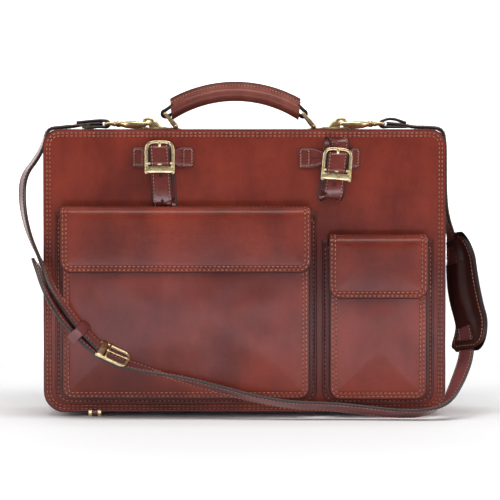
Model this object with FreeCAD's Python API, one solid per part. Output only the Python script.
"""Leather briefcase with two zipped compartments, two flap pockets, a swinging
handle on metal links, two umbrella loops and a clip-on shoulder strap.

Frame: millimetres, +X to the bag's right as its front is faced, +Y to the back,
+Z up.  The origin is on the floor under the middle of the bag without its strap.
"""
import FreeCAD, Part
import math
import os

os.makedirs("parts", exist_ok=True)

V = FreeCAD.Vector
X_AXIS = V(1, 0, 0)
Y_AXIS = V(0, 1, 0)
Z_AXIS = V(0, 0, 1)

# ---------------------------------------------------------------- driving sizes
BODY_W = 420.0             # width of the front panel
BODY_H = 296.0             # height of the front panel
BODY_D = 110.0             # depth over both panels, without the pockets
LEATHER = 3.0              # panels, gussets and strips
STAND = 4.0                # height of the feet below the bag
TOP_R = 17.0               # outer corner radii of the panels
BOTTOM_R = 22.0
SEAM_GAP = 0.3             # air between pieces that belong to different bodies

POCKET_PROUD = 26.0        # front face of both pockets in front of the panel
FLAP_PROUD = 32.0          # outer face of both flaps in front of the panel
FLAP_HINGE = 15.0          # crease of both flaps in front of the panel

TOTAL_D = BODY_D + FLAP_PROUD
FRONT_Y = FLAP_PROUD - TOTAL_D / 2     # outer face of the front panel
BACK_Y = TOTAL_D / 2                   # outer face of the back panel
MID_Y = (FRONT_Y + BACK_Y) / 2         # middle plane of the bag
HALF_W = BODY_W / 2
BODY_Z0 = STAND
BODY_Z1 = STAND + BODY_H

SPINE_W = 36.0             # strip between the two zips
ZIP_W = 10.0               # visible width of one zip
ZIP_GAP = 1.2              # slot between the two rows of teeth
ZIP_T = 2.4                # thickness over the teeth
ZIP_END_Z = 229.0          # the zips end this high on both sides
MOUTH_HALF = 150.0         # the part of the top that swings open

PIVOT_X = 73.0             # lower pins of the handle links
PIVOT_Z = BODY_Z1 + 3.0
LINK_L = 17.2              # from pin to pin
LINK_LEAN = 40.0           # degrees to the left of upright, as stored
PIN_R = 1.5
EYE_X = 102.3              # eyes for the strap's snap hooks
EYE_Z = BODY_Z1 + 5.5

STRAP_W = 20.0
STRAP_T = 3.2


def export(name, solids):
    """Write one node: one solid, or several identical ones side by side."""
    if not isinstance(solids, list):
        solids = [solids]
    shape = solids[0] if len(solids) == 1 else Part.makeCompound(solids)
    shape.exportStep("parts/" + name + ".step")
    box = shape.BoundBox
    print(
        f"{name:26s} {len(solids)} solid(s) {shape.Volume:10.0f} mm3 "
        f"{box.XLength:6.1f} x {box.YLength:6.1f} x {box.ZLength:6.1f} {shape.isValid()}"
    )


def box(x0, x1, y0, y1, z0, z1):
    """A block between six planes."""
    low = V(min(x0, x1), min(y0, y1), min(z0, z1))
    return Part.makeBox(abs(x1 - x0), abs(y1 - y0), abs(z1 - z0), low)


def rod(start, axis, radius, length):
    """A round bar from a point along an axis."""
    return Part.makeCylinder(radius, length, start, axis)


def cross_rod(x, z, radius, half_width, y=None):
    """A round bar along Y, centred on the bag's middle plane unless told otherwise."""
    middle = MID_Y if y is None else y
    return rod(V(x, middle - half_width, z), Y_AXIS, radius, 2 * half_width)


def face_of(points):
    """A flat face from corner points, closed by itself."""
    return Part.Face(Part.makePolygon(points + [points[0]]))


def fuse(pieces):
    """Join overlapping solids into one clean solid."""
    whole = pieces[0]
    for piece in pieces[1:]:
        whole = whole.fuse(piece)
    return whole.removeSplitter().Solids[0]


def outward(distance):
    """The y of a plane this far in front of the front panel."""
    return FRONT_Y - distance


def rounded_plate(x0, x1, z0, z1, y0, y1, r_top, r_bottom):
    """An upright plate in the XZ plane with rounded corners, from y0 to y1."""
    corners = [
        (V(x0, y0, z0), r_bottom, Z_AXIS, X_AXIS),
        (V(x1, y0, z0), r_bottom, -X_AXIS, Z_AXIS),
        (V(x1, y0, z1), r_top, -Z_AXIS, -X_AXIS),
        (V(x0, y0, z1), r_top, X_AXIS, -Z_AXIS),
    ]
    edges = []
    tangents = []
    for corner, radius, back, onward in corners:
        arrive = corner + back * radius
        leave = corner + onward * radius
        tangents.append((arrive, leave))
        if radius > 0:
            middle = corner + (back + onward) * (radius * (1 - math.sqrt(0.5)))
            edges.append(Part.Arc(arrive, middle, leave).toShape())
    for index, (arrive, leave) in enumerate(tangents):
        following = tangents[(index + 1) % len(tangents)][0]
        edges.append(Part.LineSegment(leave, following).toShape())
    face = Part.Face(Part.Wire(Part.__sortEdges__(edges)))
    return face.extrude(V(0, y1 - y0, 0))


def body_outline(inset, y0, y1):
    """The bag's front outline, drawn in by an inset, as a plate from y0 to y1."""
    return rounded_plate(
        -HALF_W + inset, HALF_W - inset, BODY_Z0 + inset, BODY_Z1 - inset,
        y0, y1, TOP_R - inset, BOTTOM_R - inset,
    )


def body_band(inset, thickness, y0, y1):
    """A band that follows the bag's outline all the way round."""
    return body_outline(inset, y0, y1).cut(body_outline(inset + thickness, y0 - 1, y1 + 1))


# ---------------------------------------------------------------- the leather body
FAR = 400.0                # further out than any piece
INNER_FRONT = FRONT_Y + LEATHER
INNER_BACK = BACK_Y - LEATHER
SPINE_FRONT = MID_Y - SPINE_W / 2
SPINE_BACK = MID_Y + SPINE_W / 2
LINING_T = 0.8
LINING_INSET = LEATHER + 0.4
DIVIDER_T = 3.0


def make_panels():
    """Front and back panels: flat leather, with rounded corners."""
    export("front_panel", body_outline(0, FRONT_Y, INNER_FRONT))
    export("back_panel", body_outline(0, INNER_BACK, BACK_Y))


def make_gusset():
    """The sides and bottom between the panels, up to the ends of the zips."""
    band = body_band(0, LEATHER, INNER_FRONT, INNER_BACK)
    export("gusset", band.common(box(-FAR, FAR, -FAR, FAR, 0, ZIP_END_Z)).Solids[0])
    spine = body_band(0, LEATHER, SPINE_FRONT, SPINE_BACK)
    export("spine", spine.common(box(-FAR, FAR, -FAR, FAR, ZIP_END_Z, FAR)).Solids[0])


def make_inside():
    """Linings, the wall between the compartments and the stiff boards below."""
    front = body_outline(LINING_INSET, INNER_FRONT, INNER_FRONT + LINING_T)
    back = body_outline(LINING_INSET, INNER_BACK - LINING_T, INNER_BACK)
    export("linings", [front, back])
    half = DIVIDER_T / 2
    export("divider", body_outline(LEATHER, MID_Y - half, MID_Y + half))
    board_x = HALF_W - BOTTOM_R - 2
    board_z = BODY_Z0 + LEATHER
    board_t = 2.0
    boards = [
        box(-board_x, board_x, y0, y1, board_z, board_z + board_t)
        for y0, y1 in (
            (INNER_FRONT + LINING_T, MID_Y - half),
            (MID_Y + half, INNER_BACK - LINING_T),
        )
    ]
    export("base_boards", boards)


def make_top(name, sign):
    """One side of the zipped top: rim corners, swinging strip, zip rows, slider, pull.

    sign is +1 for the front zip, whose strip lies behind the front panel, and -1
    for the back one.
    """
    panel_y = MID_Y - sign * (MID_Y - INNER_FRONT)
    strip_w = (INNER_BACK - INNER_FRONT - SPINE_W) / 2 - ZIP_W
    strip_y = panel_y + sign * strip_w
    row = (ZIP_W - ZIP_GAP) / 2
    outer_row_y = strip_y + sign * row
    inner_row_y = outer_row_y + sign * ZIP_GAP
    spine_y = inner_row_y + sign * row
    upper = box(-FAR, FAR, -FAR, FAR, ZIP_END_Z, FAR)
    mouth = box(-MOUTH_HALF, MOUTH_HALF, -FAR, FAR, BODY_Z1 - TOP_R, FAR)
    wide = MOUTH_HALF + SEAM_GAP
    mouth_gap = box(-wide, wide, -FAR, FAR, BODY_Z1 - TOP_R, FAR)

    def band(y0, y1, thickness):
        return body_band(0, thickness, min(y0, y1), max(y0, y1)).common(upper)

    strip = band(panel_y, strip_y, LEATHER)
    export(name + "_corner_strips", strip.cut(mouth_gap).Solids)
    hinge_air = 0.1
    moving = band(panel_y + sign * hinge_air, strip_y, LEATHER).common(mouth)
    export(name + "_mouth_strip", moving.Solids[0])
    rows = band(strip_y, outer_row_y, ZIP_T)
    inner = band(inner_row_y, spine_y, ZIP_T)
    export(name + "_zip_row_fixed", rows.cut(mouth_gap).Solids + inner.Solids)
    export(name + "_zip_row_moving", rows.common(mouth).Solids[0])

    middle = (outer_row_y + inner_row_y) / 2
    top = BODY_Z1 + 0.4
    plate = 1.3
    half_l = 6.0
    half_w = 4.5
    web = 0.3
    ear = 1.4
    x = -SLIDER_X
    body = fuse([
        box(x - half_l, x + half_l, middle - half_w, middle + half_w, top, top + plate),
        box(x - half_l, x + half_l, middle - half_w, middle + half_w,
            BODY_Z1 - ZIP_T - 0.4 - plate, BODY_Z1 - ZIP_T - 0.4),
        box(x - half_l + 2, x + half_l - 2, middle - web, middle + web,
            BODY_Z1 - ZIP_T - plate, top + plate / 2),
        box(x - 1.6, x + 1.6, middle - 3.4, middle - 3.4 + ear, top, PULL_Z + 1.5),
        box(x - 1.6, x + 1.6, middle + 3.4 - ear, middle + 3.4, top, PULL_Z + 1.5),
        cross_rod(x, PULL_Z, PULL_PIN_R, 3.0, middle),
    ])
    export(name + "_zip_slider", body)
    pull = fuse([
        cross_rod(x, PULL_Z, PULL_PIN_R + 0.9, 1.7, middle),
        box(x - PULL_L, x - 0.5, middle - 1.7, middle + 1.7, PULL_Z - 0.7, PULL_Z + 0.7),
        box(x - PULL_L, x - 8, middle - 3.2, middle + 3.2, PULL_Z - 0.7, PULL_Z + 0.7),
    ]).cut(cross_rod(x, PULL_Z, PULL_PIN_R + 0.06, 5, middle))
    export(name + "_zip_pull", pull.Solids[0])
    return middle


SLIDER_X = 165.0
PULL_Z = BODY_Z1 + 3.8
PULL_PIN_R = 0.8
PULL_L = 24.0


def make_zip_tabs(middles):
    """Leather tabs over the four zip ends."""
    tabs = []
    for y in middles:
        for side in (-1, 1):
            tabs.append(
                box(side * HALF_W, side * (HALF_W + 1.6), y - 6, y + 6,
                    ZIP_END_Z - 6, ZIP_END_Z + 4)
            )
    export("zip_end_tabs", tabs)


# ---------------------------------------------------------------- the two pockets
POCKET_LEATHER = 2.6
FLANGE_T = 2.2
FLAP_T = 3.0
POCKET_R = 9.4
SNAP_R = 7.0


def make_pocket(name, sides, flap_sides, heights, flange, snaps):
    """A box pocket with its flap.

    heights: pocket bottom, pocket mouth, flap bottom and flap top.
    flange: left, right and bottom edges of the flange sewn to the panel.
    snaps: x of each hidden magnetic snap.
    """
    x0, x1 = sides
    z_low, z_mouth, z_flap_low, z_flap = heights
    back = outward(POCKET_PROUD - POCKET_LEATHER)
    front = outward(POCKET_PROUD)
    export(name + "_pocket_front",
           rounded_plate(x0, x1, z_low, z_mouth, front, back, 0, POCKET_R))
    wall = 2.4
    outer = rounded_plate(x0, x1, z_low, z_mouth, back, FRONT_Y, 0, POCKET_R)
    inner = rounded_plate(x0 + wall, x1 - wall, z_low + wall, z_mouth + 5,
                          back - 1, FRONT_Y + 1, 0, POCKET_R - wall)
    left, right, bottom = flange
    rim = rounded_plate(left, right, bottom, z_mouth, outward(FLANGE_T), FRONT_Y,
                        0, POCKET_R + 4)
    gusset = outer.fuse(rim).cut(inner).removeSplitter()
    export(name + "_pocket_gusset", gusset.Solids[0])

    f0, f1 = flap_sides
    crease = outward(FLAP_HINGE)
    lip = 12.0
    fixed = fuse([
        box(f0, f1, crease, FRONT_Y, z_flap - FLAP_T, z_flap),
        box(f0, f1, outward(FLAP_T), FRONT_Y, z_flap - lip, z_flap),
    ])
    export(name + "_flap_root", fixed)
    air = 0.1
    bend = 10.0
    face_y = outward(FLAP_PROUD)
    slab = box(f0, f1, face_y, crease - air, z_flap_low, z_flap)
    slab = slab.cut(box(f0 - 1, f1 + 1, face_y + FLAP_T, crease + 1,
                        z_flap_low - 1, z_flap - FLAP_T))
    outer_edge = [e for e in slab.Edges
                  if abs(e.BoundBox.YMin - face_y) < 1e-6 and abs(e.BoundBox.ZMin - z_flap) < 1e-6
                  and e.Length > (f1 - f0) - 1 and abs(e.BoundBox.YMax - face_y) < 1e-6]
    slab = slab.makeFillet(bend, outer_edge)
    inner_edge = [e for e in slab.Edges
                  if abs(e.BoundBox.YMin - (face_y + FLAP_T)) < 1e-6
                  and abs(e.BoundBox.YMax - (face_y + FLAP_T)) < 1e-6
                  and abs(e.BoundBox.ZMin - (z_flap - FLAP_T)) < 1e-6 and e.Length > (f1 - f0) - 1]
    slab = slab.makeFillet(bend - FLAP_T, inner_edge)
    mask = rounded_plate(f0, f1, z_flap_low, z_flap + 5, face_y - 5, FRONT_Y, 0, POCKET_R)
    export(name + "_flap", slab.common(mask).Solids[0])

    snap_z = z_flap_low + 14
    gap = FLAP_PROUD - FLAP_T - POCKET_PROUD
    half = gap / 2 - 0.2
    caps = [rod(V(x, outward(FLAP_PROUD - FLAP_T), snap_z), Y_AXIS, SNAP_R, half) for x in snaps]
    bases = [rod(V(x, outward(POCKET_PROUD), snap_z), -Y_AXIS, SNAP_R, half) for x in snaps]
    export(name + "_flap_magnets", caps)
    export(name + "_pocket_magnets", bases)


# ---------------------------------------------------------------- buckles
def buckle_frame(width, height, opening_w, opening_top, pivot_z, thick, y0):
    """A frame buckle in its own frame: middle at x 0, z 0; y0 is its back face.

    A raised keeper bridge closes the lower end, a pivot bar crosses above it.
    """
    half_w = width / 2
    half_h = height / 2
    ring = rounded_plate(-half_w, half_w, -half_h, half_h, y0 - thick, y0, 4, 4)
    hole = box(-opening_w / 2, opening_w / 2, y0 - 9, y0 + 9,
               -half_h + 2.0, half_h - opening_top)
    bridge = box(-half_w, half_w, y0 - thick - 1.6, y0 - thick + 0.6,
                 pivot_z - 2.8 - 6.4, pivot_z - 2.8)
    bar = rod(V(-half_w + 1, y0 - PIVOT_OUT, pivot_z), X_AXIS, BAR_R, width - 2)
    return fuse([ring.cut(hole), bridge, bar])


BAR_R = 1.2
PIVOT_OUT = 2.6
PRONG_BORE = 0.08


def buckle_prong(pivot_z, tip_z, y0):
    """The prong: a knuckle round the pivot bar and a shank over the far bar."""
    pivot_y = y0 - PIVOT_OUT
    knuckle = rod(V(-1.6, pivot_y, pivot_z), X_AXIS, BAR_R + 1.0, 3.2)
    half = 0.8
    rise = 2.2
    shank = face_of([
        V(-1.2, pivot_y - half, pivot_z), V(-1.2, pivot_y + half, pivot_z),
        V(-1.2, pivot_y + half - rise, tip_z), V(-1.2, pivot_y - half - rise, tip_z),
    ]).extrude(V(2.4, 0, 0))
    bore = rod(V(-5, pivot_y, pivot_z), X_AXIS, BAR_R + PRONG_BORE, 10)
    return fuse([knuckle, shank]).cut(bore).Solids[0]


BUCKLE_W = 31.4
BUCKLE_H = 33.4
BUCKLE_OPEN = 20.5
BUCKLE_TOP = 4.2
BUCKLE_PIVOT = -7.6        # pivot bar below the buckle's middle
BUCKLE_T = 2.0
PRONG_TIP = 17.2


def place(shape, origin, tilt):
    """Turn a buckle piece about Y by a tilt in degrees, then carry it to its place."""
    moved = shape.copy()
    moved.rotate(V(0, 0, 0), Y_AXIS, tilt)
    moved.translate(origin)
    return moved


# ---------------------------------------------------------------- umbrella loops
LOOP_W = 20.8
LOOP_T = 2.2
LOOP_NEAR = 0.4            # back layer in front of the panel
LOOP_FAR = 7.6             # outer face of the front layer


def make_loop(name, strap_x, strap_z, tab_x, tab_z, buckle_z, tilt):
    """A loop strap held by a sewn bow tab, with its buckle and prong."""
    x0, x1 = tab_x
    z0, z1 = tab_z
    middle = strap_x
    reach = 17.5
    slope = 2.4
    low = 2.2
    high_in = 2.9
    high_out = 5.1
    outline = [
        (x0, 0), (middle - reach - slope, 0), (middle - reach, high_in),
        (middle + reach, high_in), (middle + reach + slope, 0), (x1, 0),
        (x1, low), (middle + reach + slope + 0.6, low), (middle + reach + 0.6, high_out),
        (middle - reach - 0.6, high_out), (middle - reach - slope - 0.6, low), (x0, low),
    ]
    tab = face_of([V(x, outward(d), z0) for x, d in outline]).extrude(V(0, 0, z1 - z0))
    notch = 3.1
    for a, b in ((z0 - 1, z0 + notch), (z1 - notch, z1 + 1)):
        tab = tab.cut(box(middle - reach + 2, middle + reach - 2, -FAR, FAR, a, b))
    export(name + "_loop_tab", tab.Solids[0])

    bottom, top = strap_z

    def side(near, far, low_z, high_z):
        """A long round-ended slot shape in the YZ plane, as wide as the strap."""
        r = (far - near) / 2
        a = V(strap_x - LOOP_W / 2, outward(near + r), low_z + r)
        b = V(strap_x - LOOP_W / 2, outward(near + r), high_z - r)
        ends = rod(a, X_AXIS, r, LOOP_W).fuse(rod(b, X_AXIS, r, LOOP_W))
        return ends.fuse(box(a.x, a.x + LOOP_W, outward(far), outward(near), a.z, b.z))

    ring = side(LOOP_NEAR, LOOP_FAR, bottom, top)
    ring = ring.cut(side(LOOP_NEAR + LOOP_T, LOOP_FAR - LOOP_T,
                         bottom + LOOP_T, top - LOOP_T)).removeSplitter()
    export(name + "_loop_strap", ring.Solids[0])

    origin = V(strap_x, outward(LOOP_FAR + 0.1), buckle_z)
    frame = buckle_frame(BUCKLE_W, BUCKLE_H, BUCKLE_OPEN, BUCKLE_TOP, BUCKLE_PIVOT, BUCKLE_T, 0)
    export(name + "_loop_buckle", place(frame, origin, tilt))
    prong = buckle_prong(BUCKLE_PIVOT, PRONG_TIP, 0)
    export(name + "_loop_prong", place(prong, origin, tilt))


# ---------------------------------------------------------------- handle and fittings
KNUCKLE_HALF = 7.4
ARM_IN = 8.2
ARM_OUT = 10.4
RUN_FIT = 0.08


def make_bracket(name, side):
    """Base plate, knuckle for the link and the eye that the snap hook holds."""
    x = side * PIVOT_X
    eye = side * EYE_X
    plate_half = 7.6
    web_half = 2.0
    pieces = [
        box(side * (PIVOT_X - 8), side * (EYE_X + 12), MID_Y - plate_half, MID_Y + plate_half,
            BODY_Z1, BODY_Z1 + 1.5),
        cross_rod(x, PIVOT_Z, 3.0, KNUCKLE_HALF),
        box(x - 3, x + 3, MID_Y - KNUCKLE_HALF, MID_Y + KNUCKLE_HALF, BODY_Z1, PIVOT_Z - 1.8),
        cross_rod(eye, EYE_Z, 6.8, web_half),
        face_of([
            V(side * (PIVOT_X + 5), MID_Y - web_half, BODY_Z1 + 1),
            V(side * (PIVOT_X + 5), MID_Y - web_half, BODY_Z1 + 2.2),
            V(side * (EYE_X - 5), MID_Y - web_half, BODY_Z1 + 6.5),
            V(side * (EYE_X - 5), MID_Y - web_half, BODY_Z1 + 1),
        ]).extrude(V(0, 2 * web_half, 0)),
    ]
    solid = fuse(pieces)
    solid = solid.cut(cross_rod(x, PIVOT_Z, PIN_R + RUN_FIT, 12))
    solid = solid.cut(cross_rod(eye, EYE_Z, 4.3, 12))
    solid = solid.common(box(-FAR, FAR, -FAR, FAR, BODY_Z1, FAR))
    export(name + "_bracket", solid.Solids[0])


def make_rivets():
    """Domed rivet heads, two through each bracket plate."""
    rivets = []
    for side in (-1, 1):
        for x in (PIVOT_X + 12.0, EYE_X + 8.5):
            for offset in (-5.0, 5.0):
                rivets.append(rod(V(side * x, MID_Y + offset, BODY_Z1 + 1.5), Z_AXIS, 1.9, 1.0))
    export("bracket_rivets", rivets)


def link_tops():
    """X of the left and right upper pins, and their common height."""
    lean = math.radians(LINK_LEAN)
    shift = -LINK_L * math.sin(lean)
    return -PIVOT_X + shift, PIVOT_X + shift, PIVOT_Z + LINK_L * math.cos(lean)


def make_link(name, bottom_x, top_x, top_z):
    """A closed ring: two pins along Y joined by tapered arms."""
    pieces = [
        cross_rod(bottom_x, PIVOT_Z, PIN_R, ARM_OUT),
        cross_rod(top_x, top_z, PIN_R, ARM_OUT),
    ]
    along = V(top_x - bottom_x, 0, top_z - PIVOT_Z).normalize()
    across = V(along.z, 0, -along.x)
    low_r = 2.6
    high_r = 2.2
    for y in (MID_Y - ARM_OUT, MID_Y + ARM_IN):
        low = V(bottom_x, y, PIVOT_Z)
        high = V(top_x, y, top_z)
        width = ARM_OUT - ARM_IN
        pieces.append(rod(low, Y_AXIS, low_r, width))
        pieces.append(rod(high, Y_AXIS, high_r, width))
        pieces.append(face_of([
            low - across * low_r, low + across * low_r,
            high + across * high_r, high - across * high_r,
        ]).extrude(V(0, width, 0)))
    export(name + "_link", fuse(pieces))


GRIP_R = 131.5             # centre line of the padded arch
GRIP_HALF_ANGLE = 29.5
GRIP_TALL = 20.8
GRIP_WIDE = 18.0
GRIP_TOP = 350.2
CORE_R = 5.0


def arch(section, centre):
    """Turn a section about the arch's centre by the whole handle angle."""
    start = section.copy()
    start.rotate(centre, Y_AXIS, -GRIP_HALF_ANGLE)
    return start.revolve(centre, Y_AXIS, 2 * GRIP_HALF_ANGLE)


def make_handle():
    """Padded arch with a rope core and a leather eye at each end."""
    left, right, top_z = link_tops()
    middle_x = (left + right) / 2
    line_z = GRIP_TOP - GRIP_TALL / 2
    centre = V(middle_x, MID_Y, line_z - GRIP_R)
    at = V(middle_x, MID_Y, line_z)
    ellipse = Part.Ellipse(V(0, 0, 0), GRIP_TALL / 2, GRIP_WIDE / 2).toShape()
    section = Part.Face(Part.Wire([ellipse]))
    section.rotate(V(0, 0, 0), Y_AXIS, -90)
    section.translate(at)
    hole = Part.Face(Part.Wire([Part.makeCircle(CORE_R, at, X_AXIS)]))
    grip = arch(section, centre)
    core = arch(hole, centre)
    end = math.radians(GRIP_HALF_ANGLE)
    pieces = [grip]
    for sign, pin_x in ((-1, left), (1, right)):
        tip = centre + V(sign * GRIP_R * math.sin(end), 0, GRIP_R * math.cos(end))
        pin = V(pin_x, MID_Y, top_z)
        along = (pin - tip).normalize()
        across = V(along.z, 0, -along.x)
        root = tip - along * 6
        pieces.append(face_of([
            root + across * 8.5, pin + across * 4.2, pin - across * 4.2, root - across * 8.5,
        ]).extrude(V(0, 2 * KNUCKLE_HALF, 0)).translated(V(0, -KNUCKLE_HALF, 0)))
        pieces.append(cross_rod(pin_x, top_z, 4.6, KNUCKLE_HALF))
    whole = fuse(pieces)
    whole = whole.cut(cross_rod(left, top_z, PIN_R + RUN_FIT, 12))
    whole = whole.cut(cross_rod(right, top_z, PIN_R + SEAM_GAP, 12))
    whole = whole.cut(core)
    export("handle", whole.Solids[0])
    export("handle_core", core)


HOOK_WIRE = 2.0
HOOK_HALF = 7.0            # half width of the hook's loop, to wire middle
HOOK_LOOP = 16.0
RING_X = EYE_X + 46.0


def make_hook(name, side):
    """A snap hook through the eye, with its sprung gate."""
    eye = side * EYE_X
    back = side * (EYE_X + HOOK_LOOP)
    y_fixed = MID_Y - HOOK_HALF
    y_gate = MID_Y + HOOK_HALF
    half_block = 9.0
    pieces = [
        rod(V(eye, y_fixed, EYE_Z), Y_AXIS, HOOK_WIRE, 2 * HOOK_HALF),
        Part.makeSphere(HOOK_WIRE, V(eye, y_fixed, EYE_Z)),
        rod(V(eye, y_fixed, EYE_Z), X_AXIS * side, HOOK_WIRE, HOOK_LOOP + 2),
        box(back, back + side * 6, MID_Y - half_block, MID_Y + HOOK_HALF - 2.4,
            EYE_Z - 2.2, EYE_Z + 2.2),
        rod(V(back + side * 5, MID_Y, EYE_Z), X_AXIS * side, 3.4, 8),
        rod(V(back + side * 12, MID_Y, EYE_Z), X_AXIS * side, 1.6, 8),
        rod(V(back + side * 19, MID_Y, EYE_Z), X_AXIS * side, 2.9, 1.6),
    ]
    pieces.append(box(back + side * 0.0, back + side * 6, MID_Y, MID_Y + HOOK_HALF + 2.0,
                      EYE_Z - 2.2, EYE_Z - 1.3))
    pieces.append(box(back + side * 0.0, back + side * 6, MID_Y, MID_Y + HOOK_HALF + 2.0,
                      EYE_Z + 1.3, EYE_Z + 2.2))
    pin_at = V(back + side * 3.0, y_gate, EYE_Z - 2.0)
    pieces.append(rod(pin_at, Z_AXIS, 0.8, 4.0))
    export(name + "_snap_hook", fuse(pieces))
    gate_gap = 0.4
    gate = fuse([
        rod(V(back + side * 3.0, y_gate, EYE_Z - 0.9), Z_AXIS, 1.9, 1.8),
        box(eye + side * (HOOK_WIRE + gate_gap), back + side * 3.0,
            y_gate - 1.4, y_gate + 1.4, EYE_Z - 0.9, EYE_Z + 0.9),
    ]).cut(rod(pin_at, Z_AXIS, 0.88, 4.0))
    export(name + "_snap_gate", gate.Solids[0])


def make_rings():
    """The strap rings: a swivel eye round each hook's stem and a square loop."""
    rings = []
    for side in (-1, 1):
        x = side * (EYE_X + HOOK_LOOP + 13.2)
        collar = rod(V(x, MID_Y, EYE_Z), X_AXIS * side, 4.2, 4.6)
        collar = collar.cut(rod(V(x - side, MID_Y, EYE_Z), X_AXIS * side, 1.68, 9))
        far = x + side * 17
        half = 13.0
        loop = box(x + side * 3.2, far, MID_Y - half, MID_Y + half, EYE_Z - 1.5, EYE_Z + 1.5)
        loop = loop.cut(box(x + side * 7.2, far - side * 3, MID_Y - half + 2.6,
                            MID_Y + half - 2.6, EYE_Z - 5, EYE_Z + 5))
        slot = box(x + side * 4.0, x + side * 7.4, MID_Y - 3.3, MID_Y + 3.3, EYE_Z - 5, EYE_Z + 5)
        rings.append(fuse([collar, loop]).cut(slot).cut(
            rod(V(x + side * 2, MID_Y, EYE_Z), X_AXIS * side, 1.68, 4)).Solids[0])
    export("strap_rings", rings)


# ---------------------------------------------------------------- the shoulder strap
RING_BAR = EYE_X + HOOK_LOOP + 13.2 + 15.5
STRAP_Y = MID_Y
LYING = V(0, -1, 0)        # width direction on top of the bag

# Control points of each strap's centre line, with the direction of its front edge.
SHORT_STRAP = [
    (V(-RING_BAR - 3.6, STRAP_Y, EYE_Z + 0.4), LYING),
    (V(-168, STRAP_Y, EYE_Z + 0.6), LYING),
    (V(-190, STRAP_Y, 304.5), LYING),
    (V(-212, STRAP_Y, 301), LYING),
    (V(-221, 15, 272), LYING),
    (V(-235, 10, 250), LYING),
    (V(-236, -2, 222), LYING),
    (V(-230, -22, 192), LYING),
    (V(-217, -52, 162), LYING),
    (V(-203, -75, 136), V(-0.15, -1, -0.15)),
    (V(-186, -82, 115), V(-0.15, -1, -0.25)),
    (V(-166, -83, 92), V(-0.1, -1, -0.35)),
    (V(-145.5, -82, 71.5), V(0, -0.9, -0.4)),
]
LONG_STRAP = [
    (V(RING_BAR + 3.6, STRAP_Y, EYE_Z + 0.4), LYING),
    (V(166, STRAP_Y, EYE_Z - 0.5), LYING),
    (V(188, STRAP_Y, 302.8), LYING),
    (V(211.8, STRAP_Y, 303), LYING),
    (V(212.6, STRAP_Y, 268), LYING),
    (V(212.6, 14, 236), LYING),
    (V(213.5, 9, 208), V(0.1, -1, 0)),
    (V(221, 4, 178), V(0.45, -0.89, 0)),
    (V(220.5, 0, 152), V(0.57, -0.82, 0)),
    (V(222, -8, 122), V(0.57, -0.82, 0)),
    (V(232, -20, 92), V(0.6, -0.8, 0)),
    (V(233, -40, 66), V(0.6, -0.8, 0)),
    (V(222, -62, 40), V(0.65, -0.76, 0)),
    (V(208, -79, 16), V(0.4, -0.88, 0.2)),
    (V(184, -80, 7.4), V(0.1, -0.9, 0.35)),
    (V(156, -79, 7.2), V(0, -0.9, 0.4)),
    (V(124, -78, 10.5), V(0, -0.9, 0.42)),
    (V(90, -78, 14.5), V(0, -0.9, 0.42)),
    (V(50, -78, 15.5), V(0, -0.9, 0.42)),
    (V(12, -78, 22), V(0, -0.9, 0.42)),
    (V(-30, -78, 33.5), V(0, -0.9, 0.42)),
    (V(-70, -79.5, 44), V(0, -0.9, 0.3)),
    (V(-108, -81.5, 54), V(0, -0.9, -0.3)),
    (V(-140, -84, 63), V(0, -0.9, -0.4)),
    (V(-167, -87, 84), V(-0.1, -1, -0.35)),
    (V(-190, -87, 109), V(-0.15, -1, -0.25)),
    (V(-209, -80, 134), V(-0.15, -1, -0.15)),
    (V(-223, -56, 162), LYING),
]


def spline(points):
    """Stations of the smooth line of order three that the control points pull."""
    per_span = 3
    stations = []
    last = len(points) - 1
    for index in range(1, last):
        p0, w0 = points[index - 1]
        p1, w1 = points[index]
        p2, w2 = points[index + 1]
        a = p0 if index == 1 else (p0 + p1) * 0.5
        wa = w0 if index == 1 else (w0 + w1) * 0.5
        b = p2 if index == last - 1 else (p1 + p2) * 0.5
        wb = w2 if index == last - 1 else (w1 + w2) * 0.5
        steps = per_span + (1 if index == last - 1 else 0)
        for step in range(steps):
            t = step / per_span
            q = (1 - t) * (1 - t)
            r = 2 * t * (1 - t)
            s = t * t
            stations.append((a * q + p1 * r + b * s, wa * q + w1 * r + wb * s))
    return stations


def ribbon(points, width, thickness):
    """A closed flat band along the control points, made of plane facets."""
    stations = spline(points)
    rings = []
    length = 0.0
    for index, (at, across) in enumerate(stations):
        before = stations[max(index - 1, 0)][0]
        after = stations[min(index + 1, len(stations) - 1)][0]
        if index:
            length += (at - before).Length
        along = (after - before).normalize()
        side = (across - along * across.dot(along)).normalize() * (width / 2)
        out = along.cross(side).normalize() * (thickness / 2)
        rings.append([at - side - out, at + side - out, at + side + out, at - side + out])
    facets = []

    def triangle(a, b, c):
        facets.append(Part.Face(Part.makePolygon([a, b, c, a])))

    for low, high in zip(rings, rings[1:]):
        for k in range(4):
            n = (k + 1) % 4
            triangle(low[k], low[n], high[n])
            triangle(low[k], high[n], high[k])
    for ring in (rings[0], rings[-1]):
        triangle(ring[0], ring[1], ring[2])
        triangle(ring[0], ring[2], ring[3])
    solid = Part.makeSolid(Part.makeShell(facets))
    solid.fix(0.01, 0.01, 0.01)
    if solid.Volume < 0:
        solid.reverse()
    ratio = solid.Volume / (width * thickness * length)
    print(f"  band {length:6.1f} mm long, volume over section times length {ratio:.3f}")
    return solid


PAD_W = 46.0
PAD_T = 6.0
SHOULDER_PAD = [
    (V(221, 2, 190), V(0.35, -0.93, 0)),
    (V(229.5, 1, 172), V(0.48, -0.88, 0)),
    (V(230.5, -4, 145), V(0.57, -0.82, 0)),
    (V(234.5, -12, 118), V(0.58, -0.81, 0)),
    (V(240.5, -25, 88), V(0.6, -0.8, 0)),
    (V(230.5, -38, 68), V(0.62, -0.78, 0)),
]


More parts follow.
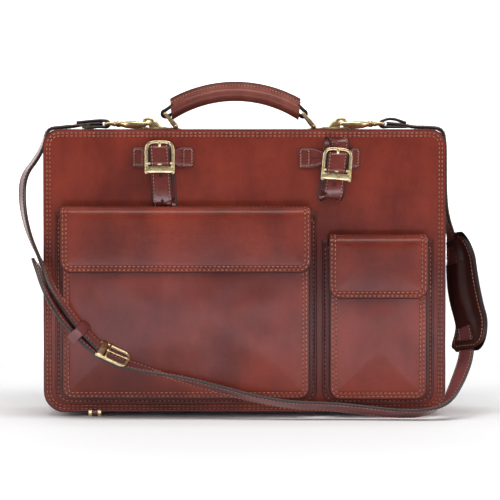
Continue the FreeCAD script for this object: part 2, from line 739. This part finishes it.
def make_strap():
    """Both halves of the strap, its pad, buckle and sliding keeper."""
    export("strap_buckle_half", ribbon(SHORT_STRAP, STRAP_W, STRAP_T))
    export("strap_long_half", ribbon(LONG_STRAP, STRAP_W, STRAP_T))
    export("shoulder_pad", ribbon(SHOULDER_PAD, PAD_W, PAD_T))
    origin = V(-134, -82, 67)
    frame = buckle_frame(BUCKLE_W, BUCKLE_H, BUCKLE_OPEN, BUCKLE_TOP, BUCKLE_PIVOT, BUCKLE_T, 0)
    prong = buckle_prong(BUCKLE_PIVOT, PRONG_TIP, 0)
    for name, piece in (("strap_buckle", frame), ("strap_buckle_prong", prong)):
        moved = piece.copy()
        moved.rotate(V(0, 0, 0), X_AXIS, -90)
        moved.rotate(V(0, 0, 0), Z_AXIS, -90)
        moved.rotate(V(0, 0, 0), X_AXIS, 25)
        moved.rotate(V(0, 0, 0), Y_AXIS, 25)
        moved.translate(origin)
        export(name, moved)
    tangent = V(-0.67, -0.05, 0.74).normalize()
    keeper = box(-5, 5, -15, 15, -7, 7).cut(box(-9, 9, -11.6, 11.6, -5.0, 5.0))
    keeper.rotate(V(0, 0, 0), X_AXIS, 16)
    keeper.rotate(V(0, 0, 0), Y_AXIS, math.degrees(math.atan2(tangent.z, -tangent.x)))
    keeper.translate(V(-170.5, -85.5, 91.5))
    export("strap_keeper", keeper.Solids[0])


# ---------------------------------------------------------------- feet
FOOT_X = 156.5
FOOT_W = 13.5
BAND_W = 4.0


def make_feet():
    """Leather feet over the bottom edges, each held by two brass bands."""
    leathers = []
    bands = []
    lap = 2.5
    deep = 12.0
    for sign_y, face in ((-1, FRONT_Y), (1, BACK_Y)):
        for sign_x in (-1, 1):
            x0 = sign_x * FOOT_X - FOOT_W / 2
            for index, (a, b) in enumerate((
                (x0, x0 + BAND_W), (x0 + BAND_W, x0 + FOOT_W - BAND_W),
                (x0 + FOOT_W - BAND_W, x0 + FOOT_W),
            )):
                outer = face + sign_y * lap
                shape = fuse([
                    box(a, b, face - sign_y * deep, outer, 0, BODY_Z0),
                    box(a, b, face, outer, 0, BODY_Z0 + 3.2),
                ])
                (leathers if index == 1 else bands).append(shape)
    export("feet_leathers", leathers)
    export("feet_bands", bands)


def main():
    make_panels()
    make_gusset()
    make_inside()
    middles = [make_top("front", 1), make_top("back", -1)]
    make_zip_tabs(middles)
    make_pocket("large", (-188.9, 67.2), (-190.7, 69.0), (20.6, 205.0, 151.6, 219.6),
                (-197.5, 75.5, 12.7), (-125.0, 5.0))
    make_pocket("small", (88.3, 188.8), (87.1, 190.1), (20.2, 176.0, 124.8, 190.3),
                (80.8, 197.5, 12.7), (138.6,))
    make_loop("left", -88.1, (221.0, 289.0), (-117.2, -52.6), (260.3, 281.2), 271.8, 0)
    make_loop("right", 96.2, (225.5, 289.5), (56.3, 120.4), (259.3, 280.5), 264.5, 4.5)
    for name, side in (("left", -1), ("right", 1)):
        make_bracket(name, side)
        make_hook(name, side)
    left, right, top_z = link_tops()
    make_link("left", -PIVOT_X, left, top_z)
    make_link("right", PIVOT_X, right, top_z)
    make_rivets()
    make_handle()
    make_rings()
    make_strap()
    make_feet()


main()
